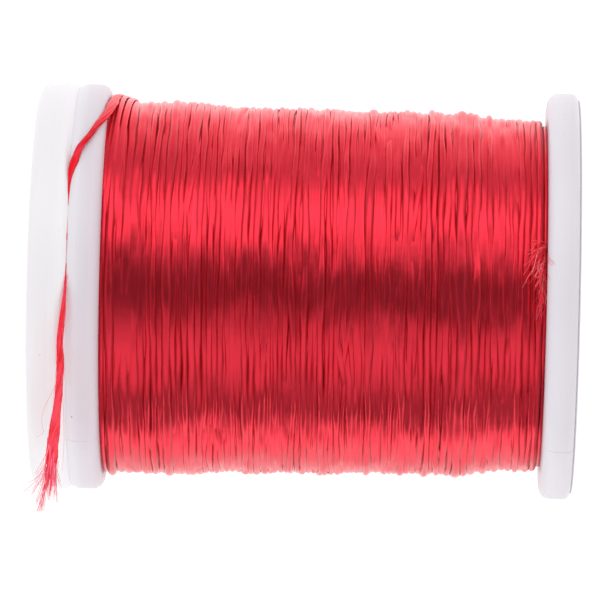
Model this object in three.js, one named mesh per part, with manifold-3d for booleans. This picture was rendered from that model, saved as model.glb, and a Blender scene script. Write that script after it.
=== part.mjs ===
// A spool of fly tying thread, lying on its side. Millimetres, +Z up.
//
// The spool's axis runs along X. Two plastic mouldings make the spool: the body, with the barrel, the
// inner left rim and the right flange, and a cap whose rim is the outer left one. The thread's loose
// end leaves the top of the winding, crosses the inner rim, goes round the front (-Y) in the slit
// between the two left rims, and hangs down to a frayed tip. The origin is under the middle of the
// spool, on the surface that it lies on.

import * as THREE from "three";
import { mergeVertices } from "three/addons/utils/BufferGeometryUtils.js";
import Module from "manifold-3d";

const wasm = await Module();
wasm.setup();

// The spool as a whole.
const SPOOL_LENGTH = 29.2;
const RIM_RADIUS = 11;
const FLAT_DEPTH = 0.2; // the rims are flattened this much where they touch the surface
const AXIS_HEIGHT = RIM_RADIUS - FLAT_DEPTH;
const RIGHT_FACE = SPOOL_LENGTH / 2;
const LEFT_FACE = -SPOOL_LENGTH / 2;
const CLEARANCE = 0.3; // between two pieces that touch on the real spool
const RIM_SEGMENTS = 40;
const CORNER_DIVISIONS = 3;

// The two left rims and the slit between them.
const CAP_RIM_THICKNESS = 1.91;
const CAP_RIM_RADIUS = 10.94;
const CAP_CORNER = 0.5;
const BEAD_RADIUS = 11.08; // a low bead on the cap's rim, along the slit
const BEAD_START = 1.25; // from the left face
const BEAD_RISE_LENGTH = 0.2;
const BEAD_CORNER = 0.35;
const SLIT_LEFT = LEFT_FACE + CAP_RIM_THICKNESS;
const SLIT_RIGHT = SLIT_LEFT + CLEARANCE;
const INNER_RIM_THICKNESS = 1.62;
const INNER_RIM_FACE = SLIT_RIGHT + INNER_RIM_THICKNESS;
const RIM_CORNER = 0.6;
const SLIT_CORNER = 0.55;

// The right flange, whose outer face stands a little proud inside a step near its edge.
const FLANGE_THICKNESS = 1.76;
const FLANGE_FACE = RIGHT_FACE - FLANGE_THICKNESS;
const FACE_STEP = 0.12;
const FLANGE_OUTER_CORNER = 0.45;

// The barrel, the bore and the cap's sleeve.
const BORE_RADIUS = 4;
const BORE_CHAMFER = 0.4;
const BARREL_RADIUS = 7;
const BARREL_WALL = 1.1;
const SOCKET_RADIUS = BARREL_RADIUS - BARREL_WALL;
const SLEEVE_RADIUS = SOCKET_RADIUS - CLEARANCE;
const SLEEVE_WALL = 1;
const SLEEVE_LENGTH = 4.5;

// The winding. Each turn of its top layer is a low ridge.
const TURN_PITCH = 0.335;
const GROOVE_DEPTH = 0.16;
const WINDING_LEFT = INNER_RIM_FACE + CLEARANCE;
const WINDING_RIGHT = FLANGE_FACE - CLEARANCE;
const WINDING_CORE_RADIUS = BARREL_RADIUS + CLEARANCE;
const WINDING_SEGMENTS = 30;
const WINDING_OUTLINE = [
  { along: -10.5, radius: 10.15 },
  { along: -9.0, radius: 10.16 },
  { along: -5.8, radius: 10.08 },
  { along: -3.1, radius: 9.84 },
  { along: 0.0, radius: 9.9 },
  { along: 2.4, radius: 9.92 },
  { along: 5.1, radius: 10.02 },
  { along: 7.8, radius: 9.92 },
  { along: 9.4, radius: 9.8 },
  { along: 10.5, radius: 9.64 },
  { along: 11.6, radius: 9.44 },
  { along: 12.6, radius: 9.4 },
];

// The turns of the top layer are uneven. Each row is one wave over them: its height, how far it goes
// on from one turn to the next, in radians, and how often it repeats round the spool.
const OUTWARD_WAVES = [
  { height: 0.035, perTurn: 2.4, around: 2 },
  { height: 0.03, perTurn: 0.7, around: -3 },
];
const SIDEWAYS_WAVES = [
  { height: 0.03, perTurn: 1.3, around: 2 },
  { height: 0.02, perTurn: 0.4, around: -5 },
];

// The thread, and the route of its loose end. On the spool a point is given by its place along the
// axis, its distance from the axis and its angle above the horizontal at the front. The hanging
// stretch is given by how far in front of the axis it is, and how far above it.
const THREAD_RADIUS = 0.21;
const THREAD_SIDES = 8;
const THREAD_STEP = 0.85;
const ROUTE_ON_SPOOL = [
  { along: -9.8, radius: 10.76, angle: 135 },
  { along: -9.88, radius: 10.76, angle: 112 },
  { along: -10.08, radius: 10.8, angle: 96 },
  { along: -10.3, radius: 10.94, angle: 87 },
  { along: -10.5, radius: 11.13, angle: 80 },
  { along: -10.68, radius: 11.28, angle: 72 },
  { along: -10.85, radius: 11.39, angle: 64.7 },
  { along: -11.08, radius: 11.48, angle: 58 },
  { along: -11.48, radius: 11.52, angle: 52.5 },
  { along: -11.88, radius: 11.52, angle: 47.4 },
  { along: -12.26, radius: 11.5, angle: 42.6 },
  { along: -12.44, radius: 11.46, angle: 38.5 },
  { along: -12.5, radius: 11.45, angle: 32 },
  { along: -12.5, radius: 11.45, angle: 20 },
  { along: -12.5, radius: 11.51, angle: 8 },
];
const ROUTE_HANGING = [
  { along: -12.55, front: 11.61, up: 0.3 },
  { along: -12.62, front: 11.62, up: -0.85 },
  { along: -12.66, front: 11.62, up: -2.26 },
  { along: -12.6, front: 11.6, up: -2.95 },
  { along: -12.63, front: 11.6, up: -3.9 },
  { along: -12.72, front: 11.62, up: -5.26 },
  { along: -12.9, front: 11.62, up: -6.55 },
  { along: -12.97, front: 11.6, up: -7.75 },
];

// A lock of filaments is a thin bar with three sides.
const LOCK_RADIUS = 0.075;
const LOCK_SIDES = 3;
const LOCK_STEPS = 5;

// The frayed tip: locks that spread from a short root below the thread's end. A row gives where a
// lock ends, from the top of the root. Each lock has gone this share of its way sideways at half way.
const FRAY_ROOT_LENGTH = 0.5;
const FRAY_ROOT_RADIUS = 0.24;
const FRAY_KNEE_SHARE = 0.3;
const FRAY_LOCKS = [
  { along: -1.35, front: 0.1, down: 1.4 },
  { along: -0.93, front: -0.15, down: 1.15 },
  { along: -0.9, front: 0.25, down: 2.1 },
  { along: -0.7, front: 0.45, down: 2.6 },
  { along: -0.5, front: 0.05, down: 2.4 },
  { along: -0.22, front: 0.3, down: 2.55 },
  { along: -0.1, front: -0.05, down: 1.8 },
  { along: 0.02, front: 0.15, down: 1.5 },
  { along: 0.25, front: 0.05, down: 1.75 },
  { along: 0.4, front: -0.1, down: 0.75 },
];

// The tuft beside the right flange: locks that fan out over the last turns from a curved root. A row
// gives the angle at a lock's root, and the angle and place along the axis of its tip.
const TUFT_RADIUS = 9.9;
const TUFT_ROOT_WIDTH = 0.2;
const TUFT_ROOT_THICKNESS = 0.14;
const TUFT_ROOT_START = 12;
const TUFT_ROOT_END = 25;
const TUFT_ROOT_LEFT = WINDING_RIGHT - TUFT_ROOT_WIDTH;
const TUFT_LIFT = 0.12; // how far a lock's tip stands off the turns
const TUFT_LOCKS = [
  { root: 24.5, tip: 21.5, along: 12.0 },
  { root: 23, tip: 16.9, along: 11.85 },
  { root: 21, tip: 11, along: 11.55 },
  { root: 19, tip: 8.5, along: 11.9 },
  { root: 17, tip: 6, along: 12.1 },
  { root: 15, tip: -1.5, along: 12.05 },
  { root: 13.5, tip: -1, along: 12.3 },
  { root: 12.5, tip: 3, along: 12.42 },
];

const PLASTIC_COLOUR = 0xe8e5ec;
const CAP_COLOUR = 0xefedf0;
const THREAD_COLOUR = 0xe0203a;
const FRAY_COLOUR = 0xee5068;

function degrees(angle) {
  return (angle * Math.PI) / 180;
}

// A point by its place along the axis, its distance from it and its angle above the front horizontal.
function aroundAxis(along, radius, angle) {
  const turn = degrees(angle);
  return new THREE.Vector3(along, -radius * Math.cos(turn), radius * Math.sin(turn));
}

// A closed outline of (distance from the axis, place along X), revolved about the X axis.
function revolved(outline, segments) {
  const geometry = new THREE.LatheGeometry(outline, segments);
  geometry.rotateZ(-Math.PI / 2);
  return geometry;
}

// Flattens a revolved piece where it touches the surface that the spool lies on.
function flattenedBelow(geometry) {
  const position = geometry.attributes.position;
  for (let i = 0; i < position.count; i++) {
    position.setZ(i, Math.max(position.getZ(i), -AXIS_HEIGHT));
  }
  return geometry;
}

function solidFrom(geometry) {
  const bare = geometry.clone();
  bare.deleteAttribute("normal");
  bare.deleteAttribute("uv");
  const merged = mergeVertices(bare);
  return new wasm.Manifold(
    new wasm.Mesh({
      numProp: 3,
      vertProperties: merged.attributes.position.array,
      triVerts: new Uint32Array(merged.index.array),
    }),
  );
}

// One geometry of several that overlap.
function joined(geometries) {
  const mesh = geometries
    .map(solidFrom)
    .reduce((whole, piece) => whole.add(piece))
    .getMesh();
  const geometry = new THREE.BufferGeometry();
  geometry.setAttribute("position", new THREE.BufferAttribute(mesh.vertProperties, 3));
  geometry.setIndex(new THREE.BufferAttribute(mesh.triVerts, 1));
  return geometry;
}

// A solid tube with flat sides along a curve.
function tube(curve, radius, sides, steps) {
  const corners = [];
  for (let i = 0; i < sides; i++) {
    const turn = (2 * Math.PI * i) / sides;
    corners.push(new THREE.Vector2(radius * Math.cos(turn), radius * Math.sin(turn)));
  }
  return new THREE.ExtrudeGeometry(new THREE.Shape(corners), {
    extrudePath: curve,
    steps,
    bevelEnabled: false,
  });
}

function material(color, roughness) {
  return new THREE.MeshStandardMaterial({ color, roughness, metalness: 0 });
}

function piece(name, geometry, color, roughness) {
  geometry.computeVertexNormals();
  const mesh = new THREE.Mesh(geometry, material(color, roughness));
  mesh.name = name;
  return mesh;
}

// The body: right flange, barrel and inner left rim. The barrel is open inside, for the cap's sleeve.
function spoolBody() {
  const outline = new THREE.Path();
  const stepRadius = RIM_RADIUS - FLANGE_OUTER_CORNER;
  const flangeEdge = RIGHT_FACE - FACE_STEP - FLANGE_OUTER_CORNER;
  outline.moveTo(BORE_RADIUS + BORE_CHAMFER, RIGHT_FACE);
  outline.lineTo(BORE_RADIUS, RIGHT_FACE - BORE_CHAMFER);
  outline.lineTo(BORE_RADIUS, FLANGE_FACE);
  outline.lineTo(SOCKET_RADIUS, FLANGE_FACE);
  outline.lineTo(SOCKET_RADIUS, SLIT_RIGHT);
  outline.lineTo(RIM_RADIUS - SLIT_CORNER, SLIT_RIGHT);
  outline.absarc(
    RIM_RADIUS - SLIT_CORNER,
    SLIT_RIGHT + SLIT_CORNER,
    SLIT_CORNER,
    -Math.PI / 2,
    0,
  );
  outline.absarc(RIM_RADIUS - RIM_CORNER, INNER_RIM_FACE - RIM_CORNER, RIM_CORNER, 0, Math.PI / 2);
  outline.lineTo(BARREL_RADIUS, INNER_RIM_FACE);
  outline.lineTo(BARREL_RADIUS, FLANGE_FACE);
  outline.lineTo(RIM_RADIUS - RIM_CORNER, FLANGE_FACE);
  outline.absarc(RIM_RADIUS - RIM_CORNER, FLANGE_FACE + RIM_CORNER, RIM_CORNER, -Math.PI / 2, 0);
  outline.absarc(stepRadius, flangeEdge, FLANGE_OUTER_CORNER, 0, Math.PI / 2);
  outline.lineTo(stepRadius, RIGHT_FACE);
  outline.closePath();
  const geometry = revolved(outline.getPoints(CORNER_DIVISIONS), RIM_SEGMENTS);
  return piece("spool_body", flattenedBelow(geometry), PLASTIC_COLOUR, 0.45);
}

// The cap: the outer left rim with its bead, and the sleeve that is pressed into the barrel.
function snapCap() {
  const outline = new THREE.Path();
  const beadStart = LEFT_FACE + BEAD_START;
  const sleeveEnd = SLIT_LEFT + SLEEVE_LENGTH;
  outline.moveTo(BORE_RADIUS + BORE_CHAMFER, LEFT_FACE);
  outline.lineTo(CAP_RIM_RADIUS - CAP_CORNER, LEFT_FACE);
  outline.absarc(CAP_RIM_RADIUS - CAP_CORNER, LEFT_FACE + CAP_CORNER, CAP_CORNER, -Math.PI / 2, 0);
  outline.lineTo(CAP_RIM_RADIUS, beadStart);
  outline.lineTo(BEAD_RADIUS, beadStart + BEAD_RISE_LENGTH);
  outline.absarc(BEAD_RADIUS - BEAD_CORNER, SLIT_LEFT - BEAD_CORNER, BEAD_CORNER, 0, Math.PI / 2);
  outline.lineTo(SLEEVE_RADIUS, SLIT_LEFT);
  outline.lineTo(SLEEVE_RADIUS, sleeveEnd);
  outline.lineTo(SLEEVE_RADIUS - SLEEVE_WALL, sleeveEnd);
  outline.lineTo(SLEEVE_RADIUS - SLEEVE_WALL, SLIT_LEFT);
  outline.lineTo(BORE_RADIUS, SLIT_LEFT);
  outline.lineTo(BORE_RADIUS, LEFT_FACE + BORE_CHAMFER);
  outline.closePath();
  const geometry = revolved(outline.getPoints(CORNER_DIVISIONS), RIM_SEGMENTS);
  return piece("snap_cap", flattenedBelow(geometry), CAP_COLOUR, 0.5);
}

// The radius of the outermost turns at a place along the axis, between the rows of the outline.
function windingRadius(along) {
  const next = WINDING_OUTLINE.findIndex((row) => row.along >= along);
  const after = WINDING_OUTLINE[Math.max(next, 1)];
  const before = WINDING_OUTLINE[Math.max(next, 1) - 1];
  const share = (along - before.along) / (after.along - before.along);
  return THREE.MathUtils.lerp(before.radius, after.radius, share);
}

// How far the waves shift a turn, counted from the left, at an angle round the spool.
function sumOfWaves(waves, turn, angle) {
  const heights = waves.map((wave) => wave.height * Math.sin(wave.perTurn * turn + wave.around * angle));
  return heights.reduce((sum, height) => sum + height);
}

// The wound thread: a ring round the barrel, ridged turn by turn, with an uneven top layer.
function winding() {
  const turns = Math.round((WINDING_RIGHT - WINDING_LEFT) / TURN_PITCH);
  const pitch = (WINDING_RIGHT - WINDING_LEFT) / turns;
  const outline = [new THREE.Vector2(WINDING_CORE_RADIUS, WINDING_LEFT)];
  for (let half = 0; half <= 2 * turns; half++) {
    const along = WINDING_LEFT + (half * pitch) / 2;
    const depth = half % 2 === 0 ? GROOVE_DEPTH : 0;
    outline.push(new THREE.Vector2(windingRadius(along) - depth, along));
  }
  outline.push(new THREE.Vector2(WINDING_CORE_RADIUS, WINDING_RIGHT));
  outline.push(outline[0].clone());
  const geometry = revolved(outline, WINDING_SEGMENTS);
  const position = geometry.attributes.position;
  const point = new THREE.Vector3();
  for (let i = 0; i < position.count; i++) {
    point.fromBufferAttribute(position, i);
    const radius = Math.hypot(point.y, point.z);
    if (radius > WINDING_CORE_RADIUS + CLEARANCE) {
      const turn = (point.x - WINDING_LEFT) / pitch;
      const angle = Math.atan2(point.z, point.y);
      const scale = 1 + sumOfWaves(OUTWARD_WAVES, turn, angle) / radius;
      const isInside = turn > 0.25 && turn < turns - 0.25;
      const aside = isInside ? sumOfWaves(SIDEWAYS_WAVES, turn, angle) : 0;
      position.setXYZ(i, point.x + aside, point.y * scale, point.z * scale);
    }
  }
  return piece("winding", geometry, THREAD_COLOUR, 0.6);
}

// The loose end's middle line, from the top layer of the winding to just above its frayed tip.
function looseEndCurve() {
  const onSpool = ROUTE_ON_SPOOL.map((row) => aroundAxis(row.along, row.radius, row.angle));
  const hanging = ROUTE_HANGING.map((row) => new THREE.Vector3(row.along, -row.front, row.up));
  return new THREE.CatmullRomCurve3([...onSpool, ...hanging], false, "centripetal");
}

function looseEnd() {
  const curve = looseEndCurve();
  const steps = Math.round(curve.getLength() / THREAD_STEP);
  const geometry = tube(curve, THREAD_RADIUS, THREAD_SIDES, steps);
  return piece("loose_end", geometry, THREAD_COLOUR, 0.6);
}

function lock(curve) {
  return tube(curve, LOCK_RADIUS, LOCK_SIDES, LOCK_STEPS);
}

// The filaments that have come apart at the tip, as locks on one root.
function frayedEnd() {
  const tip = ROUTE_HANGING[ROUTE_HANGING.length - 1];
  const top = new THREE.Vector3(tip.along, -tip.front, tip.up - CLEARANCE);
  const root = new THREE.CylinderGeometry(
    FRAY_ROOT_RADIUS,
    FRAY_ROOT_RADIUS,
    FRAY_ROOT_LENGTH,
    THREAD_SIDES,
  );
  root.rotateX(Math.PI / 2);
  root.translate(top.x, top.y, top.z - FRAY_ROOT_LENGTH / 2);
  const locks = FRAY_LOCKS.map((row, index) => {
    const side = FRAY_ROOT_RADIUS * (index / (FRAY_LOCKS.length - 1) - 0.5);
    const start = new THREE.Vector3(top.x + side, top.y, top.z - FRAY_ROOT_LENGTH / 2);
    const end = new THREE.Vector3(top.x + row.along, top.y - row.front, top.z - row.down);
    const knee = start.clone().lerp(end, 0.5);
    knee.x = THREE.MathUtils.lerp(start.x, end.x, FRAY_KNEE_SHARE);
    return lock(new THREE.QuadraticBezierCurve3(start, knee, end));
  });
  return piece("frayed_end", joined([root, ...locks]), FRAY_COLOUR, 0.7);
}

// A lock that lies over the turns, from the tuft's root to its tip. It rises more and more.
function tuftLock(row) {
  const rootAlong = TUFT_ROOT_LEFT + TUFT_ROOT_WIDTH / 2;
  const points = [0, 1 / 3, 2 / 3, 1].map((share) =>
    aroundAxis(
      THREE.MathUtils.lerp(rootAlong, row.along, share),
      TUFT_RADIUS + TUFT_LIFT * share ** 2,
      THREE.MathUtils.lerp(row.root, row.tip, share),
    ),
  );
  return lock(new THREE.CatmullRomCurve3(points));
}

// The tuft: a narrow curved root against the flange, and the locks that fan out from it.
function startTuft() {
  const inside = TUFT_RADIUS - TUFT_ROOT_THICKNESS / 2;
  const outside = TUFT_RADIUS + TUFT_ROOT_THICKNESS / 2;
  const strip = new THREE.Shape();
  strip.absarc(0, 0, outside, degrees(TUFT_ROOT_START), degrees(TUFT_ROOT_END));
  strip.absarc(0, 0, inside, degrees(TUFT_ROOT_END), degrees(TUFT_ROOT_START), true);
  const root = new THREE.ExtrudeGeometry(strip, {
    depth: TUFT_ROOT_WIDTH,
    bevelEnabled: false,
    curveSegments: 4,
  });
  // The strip is drawn in a plane across the spool's axis, with its angle 0 at the front.
  const across = new THREE.Matrix4().makeBasis(
    new THREE.Vector3(0, -1, 0),
    new THREE.Vector3(0, 0, 1),
    new THREE.Vector3(-1, 0, 0),
  );
  root.applyMatrix4(across);
  root.translate(WINDING_RIGHT, 0, 0);
  return piece("start_tuft", joined([root, ...TUFT_LOCKS.map(tuftLock)]), FRAY_COLOUR, 0.7);
}

const spool = new THREE.Group();
spool.position.z = AXIS_HEIGHT;
spool.add(spoolBody(), snapCap(), winding(), looseEnd(), frayedEnd(), startTuft());

export default spool;
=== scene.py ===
# %% [markdown]
# # A spool of fly tying thread
# This lesson dresses the solids of a small plastic spool that is wound full of fine red thread. The
# spool lies on its side. The solids give the size and the place of each piece, so every piece here is
# built in the same frame: X runs along the spool's axis, Z is up, and the camera looks along +Y.
# We load the solids first.

import math

import bpy
import numpy as np
from mathutils import Matrix, Vector


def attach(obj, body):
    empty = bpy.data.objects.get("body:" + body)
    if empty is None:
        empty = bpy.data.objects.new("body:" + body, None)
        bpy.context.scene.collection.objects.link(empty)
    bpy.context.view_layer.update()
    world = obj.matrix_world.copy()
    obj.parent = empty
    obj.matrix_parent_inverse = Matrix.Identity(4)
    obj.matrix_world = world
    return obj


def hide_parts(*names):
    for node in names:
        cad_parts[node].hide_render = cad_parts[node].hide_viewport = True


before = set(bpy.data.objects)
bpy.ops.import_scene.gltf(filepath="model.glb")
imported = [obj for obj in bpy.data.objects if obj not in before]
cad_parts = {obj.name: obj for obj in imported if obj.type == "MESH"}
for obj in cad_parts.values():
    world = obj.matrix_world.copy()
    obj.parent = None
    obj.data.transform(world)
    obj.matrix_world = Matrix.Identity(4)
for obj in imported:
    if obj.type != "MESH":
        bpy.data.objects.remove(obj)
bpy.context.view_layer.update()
print("solids:", sorted(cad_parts))

# %% [markdown]
# ## Measures
# A spool this small is easiest to think of in millimetres, and Blender works in metres. So every
# length below is in millimetres and is scaled once, where a mesh is made. Most points lie round the
# axis, so one helper places a point by its place along the axis, its distance from the axis and its
# angle, counted from the front (the camera's side) upwards.

# %% The spool's measures, in millimetres
MM = 0.001
AXIS_HEIGHT = 10.8
LEFT_FACE = -14.6
RIGHT_FACE = 14.6
RIM_RADIUS = 11.0
INNER_RIM_FACE = -10.77
FLANGE_FACE = 12.84
SLIT_MIDDLE = -12.49


def around_axis(along, radius, angle):
    """Points by place along the axis, distance from it and angle in degrees, in millimetres."""
    along, radius, angle = np.broadcast_arrays(along, radius, np.radians(angle))
    front = -radius * np.cos(angle)
    up = AXIS_HEIGHT + radius * np.sin(angle)
    return np.stack([along, front, up], axis=-1)


print("top of the left rims, mm:", around_axis(SLIT_MIDDLE, RIM_RADIUS, 90.0).round(2))

# %% [markdown]
# ## The camera
# The two ends of the spool look almost the same size in the photograph, as they do from a good
# distance with a long lens. So the camera here has one too. It looks down by a few degrees, and it
# is turned about its own line of sight, because the spool leans a little in the picture. A long lens
# also keeps the strands of the winding parallel, which makes its bands easy to compare.

# %% The camera, at the photograph's angle
CAMERA_ELEVATION = 6.0
CAMERA_DISTANCE = 318.0
CAMERA_ALONG = 5.1
AIM_ALONG = -0.34
AIM_BELOW_AXIS = 0.49
CAMERA_ROLL = 1.15
SENSOR_WIDTH = 36.0
LENS = 351.0

down = math.radians(CAMERA_ELEVATION)
eye = Vector((
    CAMERA_ALONG,
    -CAMERA_DISTANCE * math.cos(down),
    AXIS_HEIGHT + CAMERA_DISTANCE * math.sin(down),
))
aim = Vector((AIM_ALONG, 0.0, AXIS_HEIGHT - AIM_BELOW_AXIS / math.cos(down)))
camera_data = bpy.data.cameras.new("camera")
camera_data.sensor_width = SENSOR_WIDTH
camera_data.lens = LENS
camera_data.clip_start = 0.01
camera_data.clip_end = 20.0
camera = bpy.data.objects.new("camera", camera_data)
bpy.context.scene.collection.objects.link(camera)
turned = (aim - eye).to_track_quat("-Z", "Y").to_matrix().to_4x4()
roll = Matrix.Rotation(math.radians(CAMERA_ROLL), 4, "Z")
camera.matrix_world = Matrix.Translation(eye * MM) @ turned @ roll
bpy.context.scene.camera = camera
print("camera, mm:", [round(v, 1) for v in eye], "lens", LENS)

# %% [markdown]
# ## Tools for meshes
# Thread, filaments and turned plastic have one thing in common: each is a grid of points, rows along
# its length and columns round it. So one helper turns grids into a mesh object. It also writes a UV
# map, U along the piece in millimetres and V once round it, because the twist of a thread is drawn
# along those two directions. Many small things are joined in one mesh, which renders faster than
# many objects.

# %% From grids of points to a mesh object


def grid_faces(rows, columns, closed_along, closed_round):
    """Corner indices (row, column) of a grid's faces, before they wrap round at its seams."""
    row = np.arange(rows if closed_along else rows - 1)
    column = np.arange(columns if closed_round else columns - 1)
    row, column = (part.ravel() for part in np.meshgrid(row, column, indexing="ij"))
    corner_rows = np.stack([row, row, row + 1, row + 1], axis=1)
    corner_columns = np.stack([column, column + 1, column + 1, column], axis=1)
    return corner_rows, corner_columns


def grid_mesh(name, grids, closed_along=False, closed_round=True, shade=None):
    """One mesh object from grids of points in millimetres, each with its lengths along U."""
    points, faces, uvs, shades, first = [], [], [], [], 0
    for index, (grid, lengths) in enumerate(grids):
        rows, columns = grid.shape[:2]
        corner_rows, corner_columns = grid_faces(rows, columns, closed_along, closed_round)
        faces.append(first + (corner_rows % rows) * columns + corner_columns % columns)
        step = lengths[-1] / (rows - 1)
        u = np.append(lengths, lengths[-1] + step)[corner_rows]
        uvs.append(np.stack([u, corner_columns / columns], axis=-1).reshape(-1, 2))
        shades.append(np.full(rows * columns, 0.5 if shade is None else shade[index]))
        points.append(grid.reshape(-1, 3))
        first += rows * columns
    mesh = bpy.data.meshes.new(name)
    mesh.from_pydata(np.concatenate(points) * MM, [], np.concatenate(faces))
    layer = mesh.uv_layers.new(name="lay")
    layer.data.foreach_set("uv", np.concatenate(uvs).astype(np.float32).ravel())
    attribute = mesh.attributes.new("strand", "FLOAT", "POINT")
    attribute.data.foreach_set("value", np.concatenate(shades).astype(np.float32))
    mesh.shade_smooth()
    piece = bpy.data.objects.new(name, mesh)
    bpy.context.scene.collection.objects.link(piece)
    print(f"{name}: {len(mesh.polygons)} faces")
    return piece


def unit(vectors):
    """The same directions with a length of one."""
    return vectors / np.linalg.norm(vectors, axis=-1, keepdims=True)


def lengths_along(path):
    """How far along a path each of its points lies."""
    return np.append(0.0, np.cumsum(np.linalg.norm(np.diff(path, axis=0), axis=1)))


def away_from_axis(path):
    """Directions from the spool's axis to each point of a path."""
    away = path - np.array([0.0, 0.0, AXIS_HEIGHT])
    away[:, 0] = 0.0
    return unit(away)


# %% [markdown]
# A round section is swept along a path. The section needs a steady "up" at every point or it would
# spin: here up is the direction away from the spool's axis, which the caller gives. The section may
# be flat, may turn about the path and may be lobed, as a twisted bundle of filaments is.

# %% Sweep a section along a path


def sweep(path, outward, wide, thick, sides, turned=0.0, lobes=0, depth=0.0, twist=0.0):
    """A grid of rings round a path. wide and thick are half widths, turned is in degrees."""
    tangent = unit(np.gradient(path, axis=0))
    up = unit(outward - np.sum(outward * tangent, axis=1, keepdims=True) * tangent)
    side = np.cross(tangent, up)
    turned = np.radians(np.broadcast_to(turned, len(path)))[:, None]
    flat_side = side * np.cos(turned) + up * np.sin(turned)
    flat_up = up * np.cos(turned) - side * np.sin(turned)
    angle = np.arange(sides) * 2 * np.pi / sides
    along = lengths_along(path)[:, None]
    swell = 1 + depth * np.cos(lobes * angle[None, :] + lobes * twist * along)
    wide = np.broadcast_to(wide, len(path))[:, None] * swell * np.cos(angle)
    thick = np.broadcast_to(thick, len(path))[:, None] * swell * np.sin(angle)
    return path[:, None] + wide[..., None] * flat_side[:, None] + thick[..., None] * flat_up[:, None]


def smooth_path(knots, step):
    """A centripetal Catmull-Rom curve through the knots, the curve that the solids follow."""
    before = 2 * knots[0] - knots[1]
    after = 2 * knots[-1] - knots[-2]
    knots = np.vstack([before, knots, after])
    pieces = []
    for a, b, c, d in zip(knots, knots[1:], knots[2:], knots[3:]):
        t1 = np.linalg.norm(b - a) ** 0.5
        t2 = t1 + np.linalg.norm(c - b) ** 0.5
        t3 = t2 + np.linalg.norm(d - c) ** 0.5
        count = max(2, round(np.linalg.norm(c - b) / step))
        t = np.linspace(t1, t2, count, endpoint=False)[:, None]
        ab = (t1 - t) / t1 * a + t / t1 * b
        bc = (t2 - t) / (t2 - t1) * b + (t - t1) / (t2 - t1) * c
        cd = (t3 - t) / (t3 - t2) * c + (t - t2) / (t3 - t2) * d
        abc = (t2 - t) / t2 * ab + t / t2 * bc
        bcd = (t3 - t) / (t3 - t1) * bc + (t - t1) / (t3 - t1) * cd
        pieces.append((t2 - t) / (t2 - t1) * abc + (t - t1) / (t2 - t1) * bcd)
    return np.vstack(pieces + [knots[-2:-1]])


# %% [markdown]
# ## The loose end
# The thread's end comes off the top of the winding, crosses the inner rim aslant and is pinched in the
# slit beside it. It comes out at the front and hangs down to a frayed tip, about as low as the surface
# that the spool lies on. Its route is the one of the solids, point by point, a little closer to the
# plastic, because two solids must stay apart and real thread touches. The thread is flat floss with
# little twist: it looks wide where it faces us and narrow edge on.

# %% The loose end's route
# Each row: place along the axis, distance from it, angle, half width, half thickness, turn.
ON_THE_SPOOL = [
    (-9.86, 9.92, 135.0, 0.17, 0.10, 0),
    (-9.88, 10.00, 118.0, 0.18, 0.10, 0),
    (-9.96, 10.16, 107.0, 0.19, 0.10, 0),
    (-10.14, 10.30, 99.5, 0.20, 0.10, 0),
    (-10.33, 10.38, 92.0, 0.22, 0.10, 0),
    (-10.45, 10.54, 81.5, 0.24, 0.10, 0),
    (-10.55, 10.78, 71.0, 0.25, 0.09, 0),
    (-10.78, 10.98, 63.0, 0.22, 0.09, 0),
    (-11.22, 11.12, 56.4, 0.17, 0.10, 0),
    (-11.55, 11.17, 52.1, 0.14, 0.11, 0),
    (-12.02, 11.15, 47.3, 0.18, 0.09, 0),
    (-12.26, 11.07, 43.1, 0.20, 0.08, 10),
    (-12.39, 10.96, 40.0, 0.17, 0.08, 25),
    (-12.46, 10.85, 36.5, 0.12, 0.06, 50),
    (-12.49, 10.76, 31.0, 0.10, 0.05, 90),
    (-12.49, 10.755, 20.0, 0.10, 0.05, 90),
    (-12.49, 10.77, 11.0, 0.10, 0.05, 90),
    (-12.52, 10.94, 5.5, 0.06, 0.06, 45),
]
# Each row: place along the axis, in front of it, above it, half width, half thickness, turn.
HANGING = [
    (-12.54, 11.12, 0.55, 0.08, 0.09, 0),
    (-12.58, 11.26, -0.10, 0.13, 0.11, 0),
    (-12.67, 11.36, -1.03, 0.15, 0.11, 15),
    (-12.71, 11.42, -1.87, 0.14, 0.12, 30),
    (-12.66, 11.45, -2.85, 0.19, 0.11, 5),
    (-12.68, 11.47, -3.60, 0.165, 0.12, -20),
    (-12.72, 11.50, -4.50, 0.18, 0.12, -10),
    (-12.80, 11.52, -5.26, 0.19, 0.12, 0),
    (-12.87, 11.54, -6.10, 0.25, 0.12, 10),
    (-12.95, 11.55, -6.80, 0.28, 0.12, 5),
    (-13.00, 11.56, -7.50, 0.31, 0.11, 0),
    (-13.04, 11.56, -8.23, 0.26, 0.10, 0),
    (-13.10, 11.56, -8.70, 0.19, 0.08, 0),
    (-13.14, 11.56, -9.05, 0.13, 0.05, 0),
]
STEP = 0.11

on_spool = np.array(ON_THE_SPOOL)
hanging = np.array(HANGING)
knots = np.vstack([
    around_axis(on_spool[:, 0], on_spool[:, 1], on_spool[:, 2]),
    np.stack([hanging[:, 0], -hanging[:, 1], AXIS_HEIGHT + hanging[:, 2]], axis=1),
])
loose_path = smooth_path(knots, STEP)
nearest = [int(np.argmin(np.linalg.norm(loose_path - knot, axis=1))) for knot in knots]
section = np.vstack([on_spool[:, 3:], hanging[:, 3:]])
spread = [np.interp(np.arange(len(loose_path)), nearest, column) for column in section.T]
half_width, half_thickness, section_turn = spread
loose_length = lengths_along(loose_path)[-1]
print("loose end, mm:", round(loose_length, 1), "points:", len(loose_path))

# %% [markdown]
# Floss has no sharp edge: its filaments part into a few soft lobes that wind slowly round it. So the
# section is a flattened ring with seven lobes. Its width wanders a little, and its last millimetre
# tapers, because there the filaments come apart and carry on as pieces of their own.

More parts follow.
